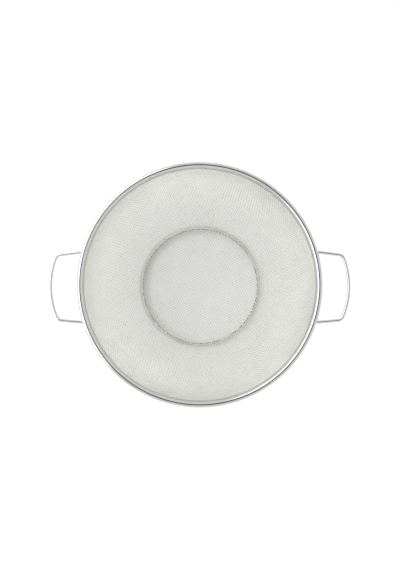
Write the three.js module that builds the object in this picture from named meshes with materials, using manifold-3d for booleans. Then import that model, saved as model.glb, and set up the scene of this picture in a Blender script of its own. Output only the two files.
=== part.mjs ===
// Two-handled mesh strainer: a bowl of woven wire cloth, held in a rolled rim, on a sheet steel foot ring.
// Millimetres, +Z up. The origin is the middle of the foot on the table, and +X points to the right handle.
import * as THREE from "three";
import { mergeVertices } from "three/addons/utils/BufferGeometryUtils.js";
import Module from "manifold-3d";

const wasm = await Module();
wasm.setup();

// Rim: a strip rolled over a core wire, with two legs that grip the edge of the cloth
const RIM_DIAMETER = 250;
const RIM_HEIGHT = 95; // table to the top of the roll
const ROLL_WIDTH = 6.4;
const ROLL_SHEET = 0.6;
const LEG_DEPTH = 4.8; // roll's centre to the tips of its legs
const LEG_SLOPE = 78; // degrees from level
const CORE_WIRE = 4.4;

// Wire cloth: a plain weave, drawn with one wire for about seven real ones at 2.3 mm
const CLOTH_PITCH = 16;
const CLOTH_WIRE = 0.9; // side of a drawn wire's square section
const CLOTH_TURN = 26; // degrees from +X to the warp
const CROSSING_GAP = 0.4; // between warp and weft where they cross
const CLOTH_EDGE = 1.2; // thickness of the crushed edge that holds the wires' ends

// Bowl: a flat floor, a short riser round it, and a curved wall
const FLOOR_DIAMETER = 126; // at the foot of the riser
const FLOOR_HEIGHT = 5; // table to the middle of the cloth
const STEP_HEIGHT = 7; // floor to the top of the riser
const RISER_SLOPE = 74; // degrees from level
const BEND_RADIUS = 1.6; // at the foot and the top of the riser

// Foot ring: a plain band of sheet, welded under the edge of the floor
const FOOT_INSET = 0.5; // from the foot of the riser to the outside of the band
const FOOT_SHEET = 1;

// Handles: bent wire with feet that run along the rim under the roll
const HANDLE_WIRE = 3.5;
const HANDLE_WIDTH = 72; // between the arms' centres, where they leave the rim
const HANDLE_REACH = 28.8; // past the rim, to the outside of the bar
const HANDLE_TAPER = 6; // degrees that each arm leans in
const HANDLE_BOW = 7; // how far the bar bows out between its corners
const HANDLE_CORNER = 6; // centreline radius
const HANDLE_FOOT = 12; // along the rim, each
const HANDLE_FOOT_BEND = 4.5; // centreline radius
const HANDLE_TURN = 1.2; // degrees round the rim that both handles sit towards -Y

const SEAT_GAP = 0.3; // between pieces that touch
const RING_SEGMENTS = 60;
const WIRE_SIDES = 8;
const HANDLE_STEPS = 44;

const steel = (color, roughness) => new THREE.MeshStandardMaterial({ color, roughness, metalness: 1 });
const CLOTH_STEEL = steel(0xc9cbc6, 0.45);
const SHEET_STEEL = steel(0xd2d4d0, 0.3);
const WIRE_STEEL = steel(0xd6d7d4, 0.22);

// A direction at an angle in degrees from the first axis of a plane
function heading(degrees) {
  const angle = THREE.MathUtils.degToRad(degrees);
  return new THREE.Vector2(Math.cos(angle), Math.sin(angle));
}

// A closed geometry as a manifold-3d solid, and back
function solidOf(geometry) {
  const bare = geometry.clone();
  bare.deleteAttribute("normal");
  bare.deleteAttribute("uv");
  const merged = mergeVertices(bare, 1e-4);
  const vertProperties = new Float32Array(merged.attributes.position.array);
  const triVerts = new Uint32Array(merged.index.array);
  return new wasm.Manifold(new wasm.Mesh({ numProp: 3, vertProperties, triVerts }));
}

function geometryOf(solid) {
  const { vertProperties, triVerts } = solid.getMesh();
  const geometry = new THREE.BufferGeometry();
  geometry.setAttribute("position", new THREE.BufferAttribute(vertProperties, 3));
  geometry.setIndex(new THREE.BufferAttribute(triVerts, 1));
  geometry.computeVertexNormals();
  return geometry;
}

// A ring turned about Z from a closed outline of (radius, height) points, anticlockwise
function turned(outline) {
  const profile = [...outline, outline[0]];
  return new THREE.LatheGeometry(profile, RING_SEGMENTS).rotateX(Math.PI / 2);
}

// Points on an arc about a centre, from one angle to another, in degrees
function arc(centre, radius, from, to, steps) {
  const points = [];
  for (let i = 0; i <= steps; i++) {
    const angle = THREE.MathUtils.lerp(from, to, i / steps);
    points.push(heading(angle).multiplyScalar(radius).add(centre));
  }
  return points;
}

// The rim in section: a place across the legs, outwards from the roll's centre, and along them, upwards
const roll = new THREE.Vector2((RIM_DIAMETER - ROLL_WIDTH) / 2, RIM_HEIGHT - ROLL_WIDTH / 2);

function inRim(across, along) {
  const place = roll.clone().addScaledVector(heading(LEG_SLOPE - 90), across);
  return place.addScaledVector(heading(LEG_SLOPE), along);
}

// Across the rim from the inner leg, which runs straight down from the roll's inside
const rollOuter = ROLL_WIDTH / 2;
const rollInner = rollOuter - ROLL_SHEET;
const clothInner = -rollInner + SEAT_GAP;
const clothOuter = clothInner + CLOTH_EDGE;
const outerLeg = clothOuter + SEAT_GAP;
const clothMouth = inRim((clothInner + clothOuter) / 2, -LEG_DEPTH);
const clothTop = -Math.sqrt((CORE_WIRE / 2 + SEAT_GAP) ** 2 - clothOuter ** 2);

// The cloth's middle surface in section: stretches of even curvature, from the axis out to its edge in the rim
function stretch(start, slope, length, turn) {
  return { start, slope, length, turn };
}

function along(piece, distance) {
  const turn = (piece.turn * distance) / piece.length;
  const middle = heading(piece.slope + turn / 2);
  const half = THREE.MathUtils.degToRad(turn / 2);
  const chord = half === 0 ? distance : (distance * Math.sin(half)) / half;
  return piece.start.clone().addScaledVector(middle, chord);
}

function meridianTo(wallSlope) {
  const bendOf = (turn) => BEND_RADIUS * Math.abs(THREE.MathUtils.degToRad(turn));
  const setback = BEND_RADIUS * Math.tan(THREE.MathUtils.degToRad(RISER_SLOPE / 2));
  const pieces = [stretch(new THREE.Vector2(0, FLOOR_HEIGHT), 0, FLOOR_DIAMETER / 2 - setback, 0)];
  const add = (length, turn) => {
    const last = pieces.at(-1);
    pieces.push(stretch(along(last, last.length), last.slope + last.turn, length, turn));
  };
  const wallTurn = wallSlope - RISER_SLOPE;
  const topSetback = BEND_RADIUS * Math.tan(THREE.MathUtils.degToRad(-wallTurn / 2));
  add(bendOf(RISER_SLOPE), RISER_SLOPE);
  add(STEP_HEIGHT / heading(RISER_SLOPE).y - setback - topSetback, 0);
  add(bendOf(wallTurn), wallTurn);
  const foot = along(pieces.at(-1), pieces.at(-1).length);
  const chord = clothMouth.clone().sub(foot);
  const turn = LEG_SLOPE - wallSlope;
  const halfTurn = THREE.MathUtils.degToRad(turn / 2);
  add((chord.length() * halfTurn) / Math.sin(halfTurn), turn);
  add(clothTop + LEG_DEPTH, 0);
  return { pieces, foot, chordSlope: THREE.MathUtils.radToDeg(chord.angle()) };
}

// The wall is one arc that meets the rim's legs in line, so its slope at the riser follows from its chord
let wallSlope = 30;
for (let pass = 0; pass < 20; pass++) wallSlope = 2 * meridianTo(wallSlope).chordSlope - LEG_SLOPE;
const meridian = meridianTo(wallSlope).pieces;
const stations = [0];
for (const piece of meridian) stations.push(stations.at(-1) + piece.length);
const [, floorEnd, riserFoot, riserTop, wallStart, mouth, edgeTop] = stations;

// A point of the section at a distance along the cloth from the axis, with the slope there
function sectionAt(distance) {
  let index = meridian.length - 1;
  while (index > 0 && stations[index] > distance) index--;
  const piece = meridian[index];
  const into = distance - stations[index];
  return { point: along(piece, into), slope: piece.slope + (piece.turn * into) / piece.length };
}

// The section moved to one side of the cloth's middle: up and in where offset is positive
function besideCloth(distance, offset) {
  const { point, slope } = sectionAt(distance);
  return point.clone().addScaledVector(heading(slope + 90), offset);
}

const weaveRise = (CLOTH_WIRE + CROSSING_GAP) / 2;
const clothHalf = weaveRise + CLOTH_WIRE / 2;
const floorBend = (floorEnd + riserFoot) / 2;
const wallBend = (riserTop + wallStart) / 2;
const edgeFoot = mouth + ROLL_SHEET;
const clothEnd = (edgeTop + edgeFoot) / 2;

// A wire of square section through stations of { point, normal }, with closed ends
function squareWire(path, side) {
  const positions = [];
  const faces = [];
  path.forEach(({ point, normal }, i) => {
    const before = path[Math.max(i - 1, 0)].point;
    const after = path[Math.min(i + 1, path.length - 1)].point;
    const tangent = after.clone().sub(before).normalize();
    const across = new THREE.Vector3().crossVectors(normal, tangent).normalize();
    const up = new THREE.Vector3().crossVectors(tangent, across);
    for (const [a, u] of [[-1, -1], [1, -1], [1, 1], [-1, 1]]) {
      const corner = point.clone().addScaledVector(across, (a * side) / 2).addScaledVector(up, (u * side) / 2);
      positions.push(...corner.toArray());
    }
  });
  const ring = (i, k) => 4 * i + (k % 4);
  for (let i = 0; i + 1 < path.length; i++) {
    for (let k = 0; k < 4; k++) {
      faces.push(ring(i, k), ring(i, k + 1), ring(i + 1, k + 1));
      faces.push(ring(i, k), ring(i + 1, k + 1), ring(i + 1, k));
    }
  }
  const end = 4 * (path.length - 1);
  faces.push(0, 2, 1, 0, 3, 2, end, end + 1, end + 2, end, end + 2, end + 3);
  const geometry = new THREE.BufferGeometry();
  geometry.setAttribute("position", new THREE.Float32BufferAttribute(positions, 3));
  return geometry.setIndex(faces);
}

// A place on the cloth from its flat pattern, lifted off the middle surface
function onCloth(flat, lift) {
  const distance = flat.length();
  const { slope } = sectionAt(distance);
  const section = besideCloth(distance, lift);
  const round = distance === 0 ? new THREE.Vector2(1, 0) : flat.clone().normalize();
  const lean = heading(slope + 90);
  return {
    point: new THREE.Vector3(section.x * round.x, section.x * round.y, section.y),
    normal: new THREE.Vector3(lean.x * round.x, lean.x * round.y, lean.y),
  };
}

// One wire of the plain weave: over at one crossing and under at the next, and flat in the rim
function clothWire(number, isWarp) {
  const off = number * CLOTH_PITCH;
  const reach = (distance) => Math.sqrt(Math.max(distance ** 2 - off ** 2, 0));
  const crossings = Math.floor(reach(mouth - 2 * CLOTH_WIRE) / CLOTH_PITCH);
  const stops = [];
  for (let i = -crossings; i <= crossings; i++) {
    const isOver = ((i + number) % 2 === 0) === isWarp;
    stops.push({ at: i * CLOTH_PITCH, lift: isOver ? weaveRise : -weaveRise });
  }
  for (const at of [reach(mouth), reach(clothEnd)]) {
    stops.unshift({ at: -at, lift: 0 });
    stops.push({ at, lift: 0 });
  }
  const bends = [floorBend, wallBend].map(reach).flatMap((at) => [-at, at]);
  for (const at of bends) {
    const next = stops.findIndex((stop) => stop.at > at);
    const [a, b] = [stops[next - 1], stops[next]];
    if (Math.min(at - a.at, b.at - at) < CLOTH_WIRE) continue;
    const lift = THREE.MathUtils.mapLinear(at, a.at, b.at, a.lift, b.lift);
    stops.splice(next, 0, { at, lift });
  }
  const turn = THREE.MathUtils.degToRad(CLOTH_TURN);
  const path = stops.map(({ at, lift }) => {
    const flat = isWarp ? new THREE.Vector2(at, off) : new THREE.Vector2(off, at);
    return onCloth(flat.rotateAround(new THREE.Vector2(), turn), lift);
  });
  return squareWire(path, CLOTH_WIRE);
}

// The bowl: warp and weft held by the cloth's crushed edge, which lies between the rim's legs
function meshBowl() {
  const edge = turned([
    besideCloth(edgeFoot, -CLOTH_EDGE / 2),
    besideCloth(edgeTop, -CLOTH_EDGE / 2),
    besideCloth(edgeTop, CLOTH_EDGE / 2),
    besideCloth(edgeFoot, CLOTH_EDGE / 2),
  ]);
  const wires = [];
  const last = Math.floor((mouth - CLOTH_PITCH / 2) / CLOTH_PITCH);
  for (let number = -last; number <= last; number++) {
    wires.push(clothWire(number, true), clothWire(number, false));
  }
  const cloth = wasm.Manifold.union([edge, ...wires].map(solidOf));
  return new THREE.Mesh(geometryOf(cloth), CLOTH_STEEL);
}

// The strip: rolled most of the way round the core wire from its inner leg, then bent down to its outer leg
function rimRoll() {
  const lean = LEG_SLOPE - 90;
  const curl = (radius, from, to, steps) => arc(roll, radius, from + lean, to + lean, steps);
  const low = (radius, across) => -THREE.MathUtils.radToDeg(Math.acos(across / radius));
  const legOutside = outerLeg + ROLL_SHEET;
  const outline = [
    inRim(-rollOuter, -LEG_DEPTH),
    inRim(-rollInner, -LEG_DEPTH),
    ...curl(rollInner, 180, low(rollInner, outerLeg), 8),
    inRim(outerLeg, -LEG_DEPTH),
    inRim(legOutside, -LEG_DEPTH),
    ...curl(rollOuter, low(rollOuter, legOutside), 180, 12),
  ];
  return new THREE.Mesh(turned(outline), SHEET_STEEL);
}

function rimCoreWire() {
  const hoop = turned(arc(roll, CORE_WIRE / 2, 0, 360 - 360 / WIRE_SIDES, WIRE_SIDES - 1));
  return new THREE.Mesh(hoop, WIRE_STEEL);
}

// The foot ring: a band that stands on the table, up to the underside of the floor
function footRing() {
  const outside = FLOOR_DIAMETER / 2 - FOOT_INSET;
  const inside = outside - FOOT_SHEET;
  const top = FLOOR_HEIGHT - clothHalf - SEAT_GAP;
  const outline = [
    new THREE.Vector2(inside, 0),
    new THREE.Vector2(outside, 0),
    new THREE.Vector2(outside, top),
    new THREE.Vector2(inside, top),
  ];
  return new THREE.Mesh(turned(outline), SHEET_STEEL);
}

// Where a handle's foot lies in section: in the corner under the roll, against the outer leg
function handleSeat() {
  const apart = (ROLL_WIDTH + HANDLE_WIRE) / 2 + SEAT_GAP;
  const across = outerLeg + ROLL_SHEET + SEAT_GAP + HANDLE_WIRE / 2;
  return inRim(across, -Math.sqrt(apart ** 2 - across ** 2));
}

// The points of a corner rounded to a radius
function rounded(before, corner, after, radius) {
  const back = before.clone().sub(corner).normalize();
  const on = after.clone().sub(corner).normalize();
  const half = back.angleTo(on) / 2;
  const from = corner.clone().addScaledVector(back, radius / Math.tan(half));
  const to = corner.clone().addScaledVector(on, radius / Math.tan(half));
  const centre = corner.clone().addScaledVector(back.clone().add(on).normalize(), radius / Math.sin(half));
  const turn = Math.PI - 2 * half;
  const sense = Math.sign(from.clone().sub(centre).cross(to.clone().sub(centre)));
  return [0, 1, 2, 3].map((i) => from.clone().rotateAround(centre, (sense * turn * i) / 3));
}

// The handle's centreline in plan: foot, arm, bowed bar, arm, foot
function handlePlan(seat) {
  const bar = RIM_DIAMETER / 2 + HANDLE_REACH - HANDLE_WIRE / 2;
  const armAngle = THREE.MathUtils.radToDeg(Math.asin(HANDLE_WIDTH / 2 / seat.x));
  const footTurn = THREE.MathUtils.radToDeg(HANDLE_FOOT / seat.x);
  const foot = arc(new THREE.Vector2(), seat.x, armAngle + footTurn, armAngle, 2);
  const arm = foot.at(-1);
  const cornerX = bar - HANDLE_BOW;
  const cornerY = arm.y - (cornerX - arm.x) * Math.tan(THREE.MathUtils.degToRad(HANDLE_TAPER));
  const corner = new THREE.Vector2(cornerX, cornerY);
  const bowRadius = (cornerY ** 2 + HANDLE_BOW ** 2) / (2 * HANDLE_BOW);
  const bowHalf = THREE.MathUtils.radToDeg(Math.asin(cornerY / bowRadius));
  const bow = arc(new THREE.Vector2(bar - bowRadius, 0), bowRadius, bowHalf, 0, 4);
  const half = [
    ...foot.slice(0, -1),
    ...rounded(foot.at(-2), arm, corner, HANDLE_FOOT_BEND),
    ...rounded(arm, corner, bow[1], HANDLE_CORNER),
    ...bow.slice(1),
  ];
  const mirrored = half.slice(0, -1).reverse().map((p) => new THREE.Vector2(p.x, -p.y));
  return [...half, ...mirrored];
}

function handle(turn) {
  const seat = handleSeat();
  const points = handlePlan(seat).map((p) => new THREE.Vector3(p.x, p.y, seat.y));
  const extrudePath = new THREE.CatmullRomCurve3(points, false, "centripetal");
  const section = new THREE.Shape().absarc(0, 0, HANDLE_WIRE / 2, 0, 2 * Math.PI);
  const options = { steps: HANDLE_STEPS, curveSegments: WIRE_SIDES / 2, extrudePath };
  const wire = new THREE.ExtrudeGeometry(section, options).rotateZ(THREE.MathUtils.degToRad(turn));
  return new THREE.Mesh(wire, WIRE_STEEL);
}

const PIECES = {
  mesh_bowl: meshBowl(),
  rim_roll: rimRoll(),
  rim_core_wire: rimCoreWire(),
  foot_ring: footRing(),
  right_handle: handle(-HANDLE_TURN),
  left_handle: handle(180 + HANDLE_TURN),
};
const strainer = new THREE.Group();
for (const [name, mesh] of Object.entries(PIECES)) {
  mesh.name = name;
  strainer.add(mesh);
}
export default strainer;
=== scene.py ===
import math

import bpy
import numpy as np
from mathutils import Matrix, Vector


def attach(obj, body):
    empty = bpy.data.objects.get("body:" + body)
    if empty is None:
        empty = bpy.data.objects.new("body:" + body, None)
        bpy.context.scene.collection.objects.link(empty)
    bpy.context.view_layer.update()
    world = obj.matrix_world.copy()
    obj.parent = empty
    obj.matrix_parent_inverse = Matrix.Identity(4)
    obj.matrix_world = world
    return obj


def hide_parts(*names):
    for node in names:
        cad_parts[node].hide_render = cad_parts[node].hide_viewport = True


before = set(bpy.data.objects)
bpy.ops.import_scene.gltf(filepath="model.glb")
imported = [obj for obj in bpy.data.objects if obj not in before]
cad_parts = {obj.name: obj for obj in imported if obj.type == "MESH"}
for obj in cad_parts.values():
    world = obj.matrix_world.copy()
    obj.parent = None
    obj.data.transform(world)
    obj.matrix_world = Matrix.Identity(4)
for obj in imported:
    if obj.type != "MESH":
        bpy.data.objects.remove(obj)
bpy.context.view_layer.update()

# Sizes in millimetres, as in the CAD source; where facets cut its curves, a hair less
MM = 0.001
RIM_DIAMETER = 249.9
RIM_HEIGHT = 94.95
ROLL_WIDTH = 6.4
ROLL_SHEET = 0.6
LEG_DEPTH = 4.8
LEG_SLOPE = 78
LEG_GAP = 1.8
FLOOR_DIAMETER = 126
FLOOR_HEIGHT = 5
STEP_HEIGHT = 7
RISER_SLOPE = 74
BEND_RADIUS = 1.6
FOOT_DIAMETER = 125
FOOT_SHEET = 1
FOOT_HEIGHT = 3.6
FOOT_EDGE = 0.25
HANDLE_WIRE = 3.5
HANDLE_WIDTH = 72
HANDLE_REACH = 28.75
HANDLE_TAPER = 6
HANDLE_BOW = 7
HANDLE_CORNER = 6
HANDLE_FOOT = 12
HANDLE_FOOT_BEND = 4.5
HANDLE_TURN = 1.2
SEAT_GAP = 0.3

# The real cloth: every wire of the plain weave, and how far it reaches into the rim
CLOTH_PITCH = 2.3
CLOTH_WIRE = 0.75
CLOTH_TURN = 26
CLOTH_HOLD = 2.2
CLOTH_GROUPS = 4

# How finely curves are drawn
STEPS_PER_PITCH = 3
CLOTH_SIDES = 6
RING_STEPS = 256
WIRE_SIDES = 20
SKIN_STEPS = 40
BORE_STEPS = 24
LEG_TIP_STEPS = 8
FOOT_EDGE_STEPS = 4
HANDLE_FOOT_STEPS = 6
HANDLE_BEND_STEPS = 12
HANDLE_CORNER_STEPS = 14
HANDLE_BOW_STEPS = 24
HANDLE_BOW_START = 5
WIRE_TIP_TURNS = (0, 25, 50, 70, 84)

# The photograph's camera: a distance above the rim, off to one side, and the field at the rim's height
CAMERA_RISE = 1300
CAMERA_OFF = (8, -28.5)
CAMERA_AIM = (0.4, -0.5)
FIELD_HEIGHT = 576.8
SENSOR_SIZE = 36

# The sky: its level, and the dark overhead that starts between two sines of the rise
SKY_LEVEL = 0.77
ZENITH_LEVEL = 0.02
ZENITH_EDGE = (0.935, 0.965)

# The key lamp: where it stands in degrees and metres, its width and height, and its radiance
KEY_TURN = 164
KEY_RISE = 50
KEY_DISTANCE = 1.5
KEY_SIZE = (2.7, 1.4)
KEY_RADIANCE = 1.15

# The table: its size in metres, and its own glow by distance from the axis, which paints light under the
# bowl's floor and shade under its wall, with a painted shadow in it
TABLE_SIZE = 6
TABLE_TONE = 0.5
TABLE_ROUGHNESS = 0.9
# Painted light under the bowl's floor, out to 61 mm, and painted shade under its wall, deepest just outside
# the foot
TABLE_GLOW_PAINTED_LIGHT_AND_SHADE = ((0, 0.765), (61, 0.765), (64, 0.55), (82, 0.57), (118, 0.69))
SHADOW_TURN = 157
SHADOW_RISE = 40
SHADOW_REACH = 8

# The steels
CLOTH_COLOUR = (0.985, 0.987, 0.94)
SHEET_COLOUR = (0.77, 0.77, 0.755)
WIRE_COLOUR = (0.8, 0.8, 0.78)
CORE_COLOUR = (0.78, 0.78, 0.76)
CLOTH_ROUGHNESS = 0.3
SHEET_ROUGHNESS = 0.12
WIRE_ROUGHNESS = 0.14
CORE_ROUGHNESS = 0.3

# Marks on the steel, and painted shade between the cloth's crossings, leaving painted highlights on them,
# that fades up the wall
LINES_PER_MM = (0.05, 8, 1)
LINE_DETAIL = 4
SPECKS_PER_M = 700
SPECK_DETAIL = 2
STAINS_PER_M = 60
STAIN_DETAIL = 3
STAIN_TONE = 0.94
NOISE_RANGE = (0.3, 0.7)
ROUGHNESS_SPREAD = 0.04
MARK_STRENGTH = 0.1
MARK_DEPTH = 0.02
# Painted shade between the crossings: its tone, how sharply it gathers, and where it fades up the wall
PAINTED_SHADE_TONE = 0.4
PAINTED_SHADE_POWER = 3
PAINTED_SHADE_FADE = (80, 210)


def heading(degrees):
    """A direction in a plane at an angle from its first axis."""
    angle = math.radians(degrees)
    return np.array([math.cos(angle), math.sin(angle)])


def arc(centre, radius, start, end, steps):
    """Points on an arc between two angles in degrees."""
    angles = np.radians(np.linspace(start, end, steps + 1))
    return np.asarray(centre) + radius * np.stack([np.cos(angles), np.sin(angles)], 1)


# The rim in section: places across its legs, outwards from the roll's centre, and along them, upwards
ROLL = np.array([(RIM_DIAMETER - ROLL_WIDTH) / 2, RIM_HEIGHT - ROLL_WIDTH / 2])
ROLL_OUTER = ROLL_WIDTH / 2
ROLL_INNER = ROLL_OUTER - ROLL_SHEET
OUTER_LEG = LEG_GAP - ROLL_INNER


def in_rim(across, along):
    """A place in the rim's section as (radius, height)."""
    return ROLL + heading(LEG_SLOPE - 90) * across + heading(LEG_SLOPE) * along


CLOTH_MOUTH = in_rim((OUTER_LEG - ROLL_INNER) / 2, -LEG_DEPTH)


def stretch_end(stretch):
    """Where a stretch of even curvature ends, and its slope there."""
    start, slope, length, turn = stretch
    half = math.radians(turn / 2)
    chord = length if half == 0 else length * math.sin(half) / half
    return start + heading(slope + turn / 2) * chord, slope + turn


def meridian_to(wall_slope):
    """The cloth's section as stretches of even curvature, for a slope of the wall at the riser's top."""
    setback = BEND_RADIUS * math.tan(math.radians(RISER_SLOPE / 2))
    wall_turn = wall_slope - RISER_SLOPE
    top_setback = BEND_RADIUS * math.tan(math.radians(-wall_turn / 2))
    stretches = [(np.array([0.0, FLOOR_HEIGHT]), 0.0, FLOOR_DIAMETER / 2 - setback, 0.0)]

    def add(length, turn):
        stretches.append((*stretch_end(stretches[-1]), length, turn))

    add(BEND_RADIUS * math.radians(RISER_SLOPE), RISER_SLOPE)
    add(STEP_HEIGHT / heading(RISER_SLOPE)[1] - setback - top_setback, 0)
    add(BEND_RADIUS * math.radians(-wall_turn), wall_turn)
    chord = CLOTH_MOUTH - stretch_end(stretches[-1])[0]
    turn = LEG_SLOPE - wall_slope
    half = math.radians(turn / 2)
    add(np.linalg.norm(chord) * half / math.sin(half), turn)
    add(LEG_DEPTH, 0)
    return stretches, math.degrees(math.atan2(chord[1], chord[0]))


def wall_start(slope=30, rounds=20):
    """The slope at the wall's foot for which the wall runs on into the rim's legs, from a first guess."""
    for _ in range(rounds):
        slope = 2 * meridian_to(slope)[1] - LEG_SLOPE
    return slope


MERIDIAN = meridian_to(wall_start())[0]
LENGTHS = np.array([s[2] for s in MERIDIAN])
STATIONS = np.concatenate([[0], np.cumsum(LENGTHS)])
CLOTH_END = STATIONS[-2] + CLOTH_HOLD


def section(distance):
    """Radius, height and slope in radians of the cloth's middle at distances along it from the axis."""
    starts = np.array([s[0] for s in MERIDIAN])
    slopes = np.radians([s[1] for s in MERIDIAN])
    turns = np.radians([s[3] for s in MERIDIAN])
    distance = np.asarray(distance, float)
    index = np.clip(np.searchsorted(STATIONS, distance, side="right") - 1, 0, len(MERIDIAN) - 1)
    into = distance - STATIONS[index]
    turn = turns[index] * into / LENGTHS[index]
    middle = slopes[index] + turn / 2
    chord = into * np.sinc(turn / 2 / np.pi)
    radius = starts[index, 0] + chord * np.cos(middle)
    height = starts[index, 1] + chord * np.sin(middle)
    return radius, height, slopes[index] + turn


def add_mesh(name, points, quads, uv_name, places, caps=()):
    """A smooth mesh of points in millimetres, of quads with a map place at each corner, and of end caps."""
    mesh = bpy.data.meshes.new(name)
    caps = [np.asarray(cap) for cap in caps]
    corners = np.concatenate([quads.ravel(), *caps]).astype(np.int32)
    sizes = np.array([4] * len(quads) + [len(cap) for cap in caps], np.int32)
    starts = np.concatenate([[0], np.cumsum(sizes)[:-1]]).astype(np.int32)
    mesh.vertices.add(len(points))
    mesh.vertices.foreach_set("co", (points * MM).astype(np.float32).ravel())
    mesh.loops.add(len(corners))
    mesh.loops.foreach_set("vertex_index", corners)
    mesh.polygons.add(len(sizes))
    mesh.polygons.foreach_set("loop_start", starts)
    mesh.polygons.foreach_set("use_smooth", np.ones(len(sizes), bool))
    corner_places = np.zeros((len(corners), 2), np.float32)
    corner_places[: 4 * len(quads)] = places.reshape(-1, 2)
    mesh.uv_layers.new(name=uv_name).uv.foreach_set("vector", corner_places.ravel())
    mesh.update(calc_edges=True)
    piece = bpy.data.objects.new(name, mesh)
    bpy.context.scene.collection.objects.link(piece)
    return piece


def ring_quads(rings, sides, is_hoop=False):
    """Corners of the quads between rings of points, as ring numbers and side numbers that don't wrap."""
    i, k = np.meshgrid(np.arange(rings if is_hoop else rings - 1), np.arange(sides), indexing="ij")
    ring = np.stack([i, i + 1, i + 1, i], -1).reshape(-1, 4)
    side = np.stack([k, k, k + 1, k + 1], -1).reshape(-1, 4)
    return ring, side


def turned(name, outline):
    """A ring turned about Z from a closed outline of (radius, height) points, anticlockwise."""
    outline = np.asarray(outline)
    sides = len(outline)
    angles = np.linspace(0, 2 * np.pi, RING_STEPS, endpoint=False)
    radius, height = outline.T
    points = np.empty((RING_STEPS, sides, 3))
    points[..., 0] = np.cos(angles)[:, None] * radius
    points[..., 1] = np.sin(angles)[:, None] * radius
    points[..., 2] = height
    ring, side = ring_quads(RING_STEPS, sides, is_hoop=True)
    edges = np.linalg.norm(np.roll(outline, -1, 0) - outline, axis=1)
    around = np.concatenate([[0], np.cumsum(edges)])
    along = 2 * np.pi * radius.mean() / RING_STEPS
    places = np.stack([ring * along, around[side]], -1)
    quads = (ring % RING_STEPS) * sides + side % sides
    return add_mesh(name, points.reshape(-1, 3), quads, "Grain", places)


def tube_points(path, up, radii, turns):
    """Rings of points round a path, at angles from the side where up lies a quarter turn on."""
    tangent = np.gradient(path, axis=0)
    tangent /= np.linalg.norm(tangent, axis=1)[:, None]
    across = np.cross(up, tangent)
    across /= np.linalg.norm(across, axis=1)[:, None]
    normal = np.cross(tangent, across)
    spread = np.cos(turns)[:, None] * across[:, None] + np.sin(turns)[:, None] * normal[:, None]
    return path[:, None] + np.reshape(radii, (-1, 1, 1)) * spread


def swept(name, path, radii):
    """A level round wire along a path, with a radius at each point and closed ends."""
    turns = np.linspace(0, 2 * np.pi, WIRE_SIDES, endpoint=False)
    points = tube_points(path, (0, 0, 1), radii, turns)
    ring, side = ring_quads(len(path), WIRE_SIDES)
    along = np.concatenate([[0], np.cumsum(np.linalg.norm(np.diff(path, axis=0), axis=1))])
    places = np.stack([along[ring], side * np.pi * 2 * max(radii) / WIRE_SIDES], -1)
    quads = ring * WIRE_SIDES + side % WIRE_SIDES
    last = (len(path) - 1) * WIRE_SIDES
    caps = [np.arange(WIRE_SIDES), last + np.arange(WIRE_SIDES)[::-1]]
    return add_mesh(name, points.reshape(-1, 3), quads[:, ::-1], "Grain", places[:, ::-1], caps)


def cloth_wire(number, is_warp):
    """Rings of points and map places of one wire of the weave, over at one crossing and under at the next."""
    off = number * CLOTH_PITCH
    reach = math.sqrt(CLOTH_END**2 - off**2)
    step = CLOTH_PITCH / STEPS_PER_PITCH
    inner = int(reach / step - 0.5)
    at = np.concatenate([[-reach], np.arange(-inner, inner + 1) * step, [reach]])
    sign = 1 if (number % 2 == 0) == is_warp else -1
    lift = sign * CLOTH_WIRE / 2 * np.cos(np.pi * at / CLOTH_PITCH)
    line = heading(CLOTH_TURN if is_warp else CLOTH_TURN + 90)
    side = heading(CLOTH_TURN + 90 if is_warp else CLOTH_TURN)
    flat = at[:, None] * line + off * side
    distance = np.hypot(*flat.T)
    outward = flat / np.maximum(distance, 1e-9)[:, None]
    radius, height, slope = section(distance)
    normal = np.concatenate([-np.sin(slope)[:, None] * outward, np.cos(slope)[:, None]], 1)
    centre = np.concatenate([radius[:, None] * outward, height[:, None]], 1) + lift[:, None] * normal
    turns = (np.arange(CLOTH_SIDES) + 0.5) * 2 * np.pi / CLOTH_SIDES
    points = tube_points(centre, normal, CLOTH_WIRE / 2, turns)
    shift = (np.arange(CLOTH_SIDES + 1) / CLOTH_SIDES - 0.5) * CLOTH_WIRE
    places = (flat[:, None] + shift[:, None] * side) / (2 * CLOTH_END) + 0.5
    return points, places


def cloth_piece(name, numbers, is_warp):
    """A band of neighbouring wires as one mesh, with places on the flat cloth."""
    points, places, quads = [], [], []
    count = 0
    for number in numbers:
        wire, wire_places = cloth_wire(number, is_warp)
        ring, side = ring_quads(len(wire), CLOTH_SIDES)
        quads.append((count + ring * CLOTH_SIDES + side % CLOTH_SIDES)[:, ::-1])
        places.append(wire_places[ring, side][:, ::-1])
        points.append(wire.reshape(-1, 3))
        count += len(points[-1])
    return add_mesh(name, np.concatenate(points), np.concatenate(quads), "OFBake", np.concatenate(places))


def wire_cloth():
    """The whole bowl of wire cloth, in bands of warp and of weft."""
    last = int((CLOTH_END - 2 * CLOTH_PITCH) / CLOTH_PITCH)
    bands = np.array_split(np.arange(-last, last + 1), CLOTH_GROUPS)
    pieces = []
    for i, band in enumerate(bands):
        pieces.append(cloth_piece(f"cloth_warp_{i + 1}", band, True))
        pieces.append(cloth_piece(f"cloth_weft_{i + 1}", band, False))
    return pieces


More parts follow.
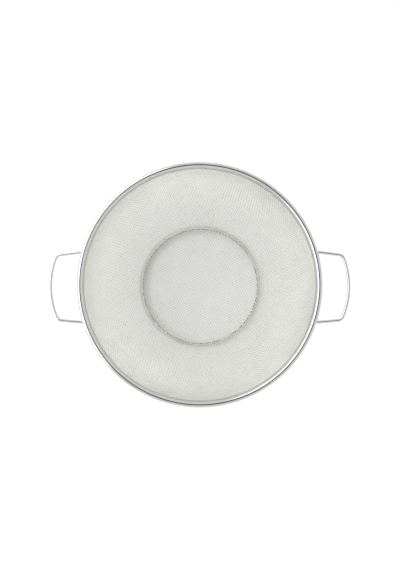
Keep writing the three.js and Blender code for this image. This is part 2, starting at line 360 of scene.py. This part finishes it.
def rim_roll():
    """A strip rolled round the core wire from its inner leg to its outer leg, with rounded leg tips."""
    lean = LEG_SLOPE - 90
    tip = ROLL_SHEET / 2
    bore_end = -math.degrees(math.acos(OUTER_LEG / ROLL_INNER))
    skin_end = -math.degrees(math.acos((OUTER_LEG + ROLL_SHEET) / ROLL_OUTER))
    outline = np.concatenate([
        arc(ROLL, ROLL_OUTER, lean + skin_end, lean + 180, SKIN_STEPS),
        arc(in_rim(tip - ROLL_OUTER, tip - LEG_DEPTH), tip, lean + 180, lean + 360, LEG_TIP_STEPS),
        arc(ROLL, ROLL_INNER, lean + 180, lean + bore_end, BORE_STEPS),
        arc(in_rim(tip + OUTER_LEG, tip - LEG_DEPTH), tip, lean + 180, lean + 360, LEG_TIP_STEPS),
    ])
    return turned("rim_strip", outline)


def foot_ring():
    """A plain band under the floor's edge, with its own edges rounded off."""
    outside = FOOT_DIAMETER / 2 - FOOT_EDGE
    inside = FOOT_DIAMETER / 2 - FOOT_SHEET + FOOT_EDGE
    high = FOOT_HEIGHT - FOOT_EDGE
    outline = np.concatenate([
        arc((inside, FOOT_EDGE), FOOT_EDGE, 180, 270, FOOT_EDGE_STEPS),
        arc((outside, FOOT_EDGE), FOOT_EDGE, -90, 0, FOOT_EDGE_STEPS),
        arc((outside, high), FOOT_EDGE, 0, 90, FOOT_EDGE_STEPS),
        arc((inside, high), FOOT_EDGE, 90, 180, FOOT_EDGE_STEPS),
    ])
    return turned("foot_band", outline)


def handle_seat():
    """Where a handle's foot lies in section: in the corner under the roll, against the outer leg."""
    apart = (ROLL_WIDTH + HANDLE_WIRE) / 2 + SEAT_GAP
    across = OUTER_LEG + ROLL_SHEET + SEAT_GAP + HANDLE_WIRE / 2
    return in_rim(across, -math.sqrt(apart**2 - across**2))


def rounded(before, corner, after, radius, steps):
    """The points of a corner rounded to a radius."""
    back = (before - corner) / np.linalg.norm(before - corner)
    on = (after - corner) / np.linalg.norm(after - corner)
    half = math.acos(np.clip(back @ on, -1, 1)) / 2
    centre = corner + (back + on) / np.linalg.norm(back + on) * radius / math.sin(half)
    start = corner + back * radius / math.tan(half) - centre
    end = corner + on * radius / math.tan(half) - centre
    first = math.degrees(math.atan2(start[1], start[0]))
    turn = math.degrees(math.atan2(start[0] * end[1] - start[1] * end[0], start @ end))
    return arc(centre, radius, first, first + turn, steps)


def handle_plan(seat):
    """The handle's centreline in plan: foot, arm, bowed bar, arm, foot; corners replace the bow's ends."""
    bar = RIM_DIAMETER / 2 + HANDLE_REACH - HANDLE_WIRE / 2
    arm_angle = math.degrees(math.asin(HANDLE_WIDTH / 2 / seat[0]))
    foot_turn = math.degrees(HANDLE_FOOT / seat[0])
    foot = arc((0, 0), seat[0], arm_angle + foot_turn, arm_angle, HANDLE_FOOT_STEPS)
    arm = foot[-1]
    corner_x = bar - HANDLE_BOW
    taper = math.tan(math.radians(HANDLE_TAPER))
    corner = np.array([corner_x, arm[1] - (corner_x - arm[0]) * taper])
    bow_radius = (corner[1] ** 2 + HANDLE_BOW**2) / (2 * HANDLE_BOW)
    bow_half = math.degrees(math.asin(corner[1] / bow_radius))
    bow = arc((bar - bow_radius, 0), bow_radius, bow_half, 0, HANDLE_BOW_STEPS)
    foot_bend = rounded(foot[-2], arm, corner, HANDLE_FOOT_BEND, HANDLE_BEND_STEPS)
    corner_bend = rounded(arm, corner, bow[HANDLE_BOW_START - 1], HANDLE_CORNER, HANDLE_CORNER_STEPS)
    half = np.concatenate([foot[:-2], foot_bend, corner_bend, bow[HANDLE_BOW_START:]])
    return np.concatenate([half, half[-2::-1] * [1, -1]])


def round_tips(path, radius):
    """A path and the wire's radius along it, with half-round tips in place of its end points."""
    angles = np.radians(WIRE_TIP_TURNS)
    tip = radius * np.sin(angles)[:, None]
    first = path[1] + tip * (path[0] - path[1]) / np.linalg.norm(path[0] - path[1])
    last = path[-2] + tip * (path[-1] - path[-2]) / np.linalg.norm(path[-1] - path[-2])
    ends = radius * np.cos(angles)
    body = path[2:-2]
    points = np.concatenate([first[::-1], body, last])
    radii = np.concatenate([ends[::-1], [radius] * len(body), ends])
    return points, radii


def handle(name, turn):
    """A handle's wire, turned about Z to its side of the bowl."""
    seat = handle_seat()
    plan = handle_plan(seat)
    turned_plan = plan @ np.array([heading(turn), heading(turn + 90)])
    path = np.column_stack([turned_plan, np.full(len(plan), seat[1])])
    return swept(name, *round_tips(path, HANDLE_WIRE / 2))


def put(tree, value, socket):
    """Another node's output linked to a socket, or a plain value set in it."""
    if isinstance(value, bpy.types.NodeSocket):
        tree.links.new(value, socket)
    else:
        socket.default_value = value


def maths(tree, operation, *values):
    """The result of one operation on outputs of other nodes and plain numbers."""
    node = tree.nodes.new("ShaderNodeMath")
    node.operation = operation
    for value, socket in zip(values, node.inputs):
        put(tree, value, socket)
    return node.outputs["Value"]


def length_of(tree, vector):
    """The length of a vector that another node puts out."""
    node = tree.nodes.new("ShaderNodeVectorMath")
    node.operation = "LENGTH"
    tree.links.new(vector, node.inputs[0])
    return node.outputs["Value"]


def ranged(tree, value, edges, first, last, kind="LINEAR"):
    """A value that goes from first to last between two edges, and stays level outside them."""
    node = tree.nodes.new("ShaderNodeMapRange")
    node.interpolation_type = kind
    sockets = ("Value", "From Min", "From Max", "To Min", "To Max")
    for socket, part in zip(sockets, (value, *edges, first, last)):
        put(tree, part, node.inputs[socket])
    return node.outputs["Result"]


def mixed(tree, first, second, share):
    """A colour on its way from the first to the second."""
    node = tree.nodes.new("ShaderNodeMix")
    node.data_type = "RGBA"
    put(tree, share, node.inputs["Factor"])
    put(tree, first, node.inputs["A"])
    put(tree, second, node.inputs["B"])
    return node.outputs["Result"]


def toned(colour, tone):
    """A colour made darker by a tone, with its alpha."""
    return (*[part * tone for part in colour], 1)


def noise_at(tree, places, scale, detail):
    """Noise at places, mostly within NOISE_RANGE."""
    node = tree.nodes.new("ShaderNodeTexNoise")
    node.inputs["Scale"].default_value = scale
    node.inputs["Detail"].default_value = detail
    tree.links.new(places, node.inputs["Vector"])
    return node.outputs["Fac"]


def drawn_lines(tree):
    """Fine lines that run along a drawn wire or a rolled strip."""
    grain = tree.nodes.new("ShaderNodeUVMap")
    grain.uv_map = "Grain"
    stretched = tree.nodes.new("ShaderNodeMapping")
    stretched.inputs["Scale"].default_value = LINES_PER_MM
    tree.links.new(grain.outputs["UV"], stretched.inputs["Vector"])
    return noise_at(tree, stretched.outputs["Vector"], 1, LINE_DETAIL)


def painted_crossing_shade(tree):
    """Painted shade on the cloth: most half way between crossings, which stand as painted highlights, and
    less up the wall, which paints the wall lighter there.
    """
    turn_per_mm = 2 * math.pi / CLOTH_PITCH
    flat = tree.nodes.new("ShaderNodeUVMap")
    flat.uv_map = "OFBake"
    weave = tree.nodes.new("ShaderNodeMapping")
    weave.vector_type = "TEXTURE"
    weave.inputs["Location"].default_value = (0.5, 0.5, 0)
    weave.inputs["Rotation"].default_value = (0, 0, math.radians(CLOTH_TURN))
    weave.inputs["Scale"].default_value = [1 / (2 * CLOTH_END * turn_per_mm)] * 3
    tree.links.new(flat.outputs["UV"], weave.inputs["Vector"])
    place = weave.outputs["Vector"]
    parts = tree.nodes.new("ShaderNodeSeparateXYZ")
    tree.links.new(place, parts.inputs["Vector"])
    along = maths(tree, "COSINE", parts.outputs["X"])
    across = maths(tree, "COSINE", parts.outputs["Y"])
    crossing = maths(tree, "MULTIPLY", along, across)
    between = maths(tree, "MULTIPLY_ADD", crossing, -0.5, 0.5)
    painted_shade = maths(tree, "POWER", between, PAINTED_SHADE_POWER)
    edges = [edge * turn_per_mm for edge in PAINTED_SHADE_FADE]
    return maths(tree, "MULTIPLY", painted_shade, ranged(tree, length_of(tree, place), edges, 1, 0, "SMOOTHSTEP"))


def steel(name, colour, roughness, is_drawn=False, is_woven=False):
    """Stainless steel with soft stains, drawn lines or else fine specks, and painted shade between the
    crossings, with painted highlights on them, if woven.
    """
    material = bpy.data.materials.new(name)
    material.use_nodes = True
    tree = material.node_tree
    shader = tree.nodes["Principled BSDF"]
    shader.inputs["Metallic"].default_value = 1.0
    places = tree.nodes.new("ShaderNodeTexCoord").outputs["Object"]
    stains = noise_at(tree, places, STAINS_PER_M, STAIN_DETAIL)
    clean = ranged(tree, stains, NOISE_RANGE, 0, 1)
    base = mixed(tree, toned(colour, STAIN_TONE), toned(colour, 1), clean)
    if is_woven:
        # Painted shade between the crossings, leaving painted highlights on them
        base = mixed(tree, base, toned(colour, PAINTED_SHADE_TONE), painted_crossing_shade(tree))
    tree.links.new(base, shader.inputs["Base Color"])
    marks = drawn_lines(tree) if is_drawn else noise_at(tree, places, SPECKS_PER_M, SPECK_DETAIL)
    smooth, rough = roughness - ROUGHNESS_SPREAD, roughness + ROUGHNESS_SPREAD
    tree.links.new(ranged(tree, marks, NOISE_RANGE, smooth, rough), shader.inputs["Roughness"])
    bump = tree.nodes.new("ShaderNodeBump")
    bump.inputs["Strength"].default_value = MARK_STRENGTH
    bump.inputs["Distance"].default_value = MARK_DEPTH * MM
    tree.links.new(marks, bump.inputs["Height"])
    tree.links.new(bump.outputs["Normal"], shader.inputs["Normal"])
    return material


def place_camera():
    """A camera over the bowl, aimed at the rim's height, with +Y up in the picture."""
    data = bpy.data.cameras.new("camera")
    camera = bpy.data.objects.new("camera", data)
    bpy.context.scene.collection.objects.link(camera)
    data.sensor_width = SENSOR_SIZE
    data.lens = SENSOR_SIZE * CAMERA_RISE / FIELD_HEIGHT
    target = Vector((*CAMERA_AIM, RIM_HEIGHT)) * MM
    camera.location = Vector((*CAMERA_OFF, RIM_HEIGHT + CAMERA_RISE)) * MM
    back = (camera.location - target).normalized()
    side = Vector((0, 1, 0)).cross(back).normalized()
    camera.rotation_euler = Matrix((side, back.cross(side), back)).transposed().to_euler()
    bpy.context.scene.camera = camera


def sky_heading(turn, rise):
    """A direction from its turn about Z and its rise from the floor."""
    return Vector((*(heading(turn) * heading(rise)[0]), heading(rise)[1]))


def seen_rays(tree):
    """1 for rays that see the table's glow: from the camera, or off or through something polished."""
    rays = tree.nodes.new("ShaderNodeLightPath").outputs
    polished = maths(tree, "MAXIMUM", rays["Is Glossy Ray"], rays["Is Transmission Ray"])
    return maths(tree, "MAXIMUM", rays["Is Camera Ray"], polished)


def painted_glow_level(tree):
    """The table's own brightness by the distance from the axis, with painted light under the bowl's floor and
    painted shade under its wall.
    """
    span = TABLE_GLOW_PAINTED_LIGHT_AND_SHADE[-1][0]
    place = tree.nodes.new("ShaderNodeTexCoord").outputs["Object"]
    share = maths(tree, "DIVIDE", length_of(tree, place), span * MM)
    level = tree.nodes.new("ShaderNodeValToRGB")
    level.color_ramp.interpolation = "EASE"
    stops = level.color_ramp.elements
    while len(stops) < len(TABLE_GLOW_PAINTED_LIGHT_AND_SHADE):
        stops.new(0.5)
    for stop, (distance, strength) in zip(stops, TABLE_GLOW_PAINTED_LIGHT_AND_SHADE):
        stop.position = distance / span
        stop.color = (strength, strength, strength, 1)
    tree.links.new(share, level.inputs["Fac"])
    return level.outputs["Color"]


def painted_shadow_share(tree):
    """A painted shadow in the table's glow: 1 in the open, less where the part stands close by on the side
    that the shadow falls from.
    """
    toward = tree.nodes.new("ShaderNodeCombineXYZ")
    for axis, part in zip("XYZ", sky_heading(SHADOW_TURN, SHADOW_RISE)):
        toward.inputs[axis].default_value = part
    open_share = tree.nodes.new("ShaderNodeAmbientOcclusion")
    open_share.inputs["Distance"].default_value = SHADOW_REACH * MM
    tree.links.new(toward.outputs["Vector"], open_share.inputs["Normal"])
    return open_share.outputs["AO"]


def add_floor():
    """The table top as a plain pale floor that looks white and keeps the object's shadow, whose glow adds
    painted light and shade under the bowl and a painted shadow near the foot.
    """
    bpy.ops.mesh.primitive_plane_add(size=TABLE_SIZE)
    floor = bpy.context.object
    floor.name = "floor"
    material = bpy.data.materials.new("floor_white")
    material.use_nodes = True
    tree = material.node_tree
    shader = tree.nodes["Principled BSDF"]
    shader.inputs["Base Color"].default_value = (TABLE_TONE, TABLE_TONE, TABLE_TONE, 1)
    shader.inputs["Roughness"].default_value = TABLE_ROUGHNESS
    shader.inputs["Specular IOR Level"].default_value = 0
    shader.inputs["Emission Color"].default_value = (1, 1, 1, 1)
    # The glow carries painted light and shade under the bowl, and a painted shadow where the bowl stands
    # close
    painted_glow = maths(tree, "MULTIPLY", painted_glow_level(tree), painted_shadow_share(tree))
    seen_painted_glow = maths(tree, "MULTIPLY", painted_glow, seen_rays(tree))
    tree.links.new(seen_painted_glow, shader.inputs["Emission Strength"])
    floor.data.materials.append(material)


def add_sky():
    """An even sky that is dark straight overhead, where the camera is."""
    world = bpy.data.worlds.new("studio")
    bpy.context.scene.world = world
    world.use_nodes = True
    tree = world.node_tree
    place = tree.nodes.new("ShaderNodeTexCoord")
    parts = tree.nodes.new("ShaderNodeSeparateXYZ")
    tree.links.new(place.outputs["Generated"], parts.inputs["Vector"])
    level = ranged(tree, parts.outputs["Z"], ZENITH_EDGE, SKY_LEVEL, ZENITH_LEVEL, "SMOOTHSTEP")
    tree.links.new(level, tree.nodes["Background"].inputs["Color"])


def add_key():
    """An oval softbox aimed at the object, with the radiance of its face."""
    width, height = KEY_SIZE
    data = bpy.data.lights.new("key", "AREA")
    data.shape = "ELLIPSE"
    data.size = width
    data.size_y = height
    data.energy = KEY_RADIANCE * math.pi * math.pi * width * height / 4
    lamp = bpy.data.objects.new("key", data)
    bpy.context.scene.collection.objects.link(lamp)
    toward = sky_heading(KEY_TURN, KEY_RISE)
    lamp.location = toward * KEY_DISTANCE
    lamp.rotation_euler = toward.to_track_quat("Z", "Y").to_euler()


def dress(piece, material, slot, *nodes):
    """A piece in its material, on the part's one body, in place of CAD nodes."""
    piece.data.materials.append(material)
    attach(piece, "root")
    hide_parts(*nodes)


add_sky()
add_key()
add_floor()
place_camera()

cloth_steel = steel("cloth_steel", CLOTH_COLOUR, CLOTH_ROUGHNESS, is_woven=True)
sheet_steel = steel("sheet_steel", SHEET_COLOUR, SHEET_ROUGHNESS, is_drawn=True)
wire_steel = steel("wire_steel", WIRE_COLOUR, WIRE_ROUGHNESS, is_drawn=True)
core_steel = steel("core_steel", CORE_COLOUR, CORE_ROUGHNESS)

for piece in wire_cloth():
    dress(piece, cloth_steel, "wire_cloth", "mesh_bowl")
dress(rim_roll(), sheet_steel, "rim_sheet", "rim_roll")
dress(foot_ring(), sheet_steel, "foot_sheet", "foot_ring")
dress(handle("handle_right", -HANDLE_TURN), wire_steel, "handle_wire", "right_handle")
dress(handle("handle_left", 180 + HANDLE_TURN), wire_steel, "handle_wire", "left_handle")
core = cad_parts["rim_core_wire"]
core.data.materials.clear()
core.data.materials.append(core_steel)

bpy.context.scene.view_settings.view_transform = "Standard"
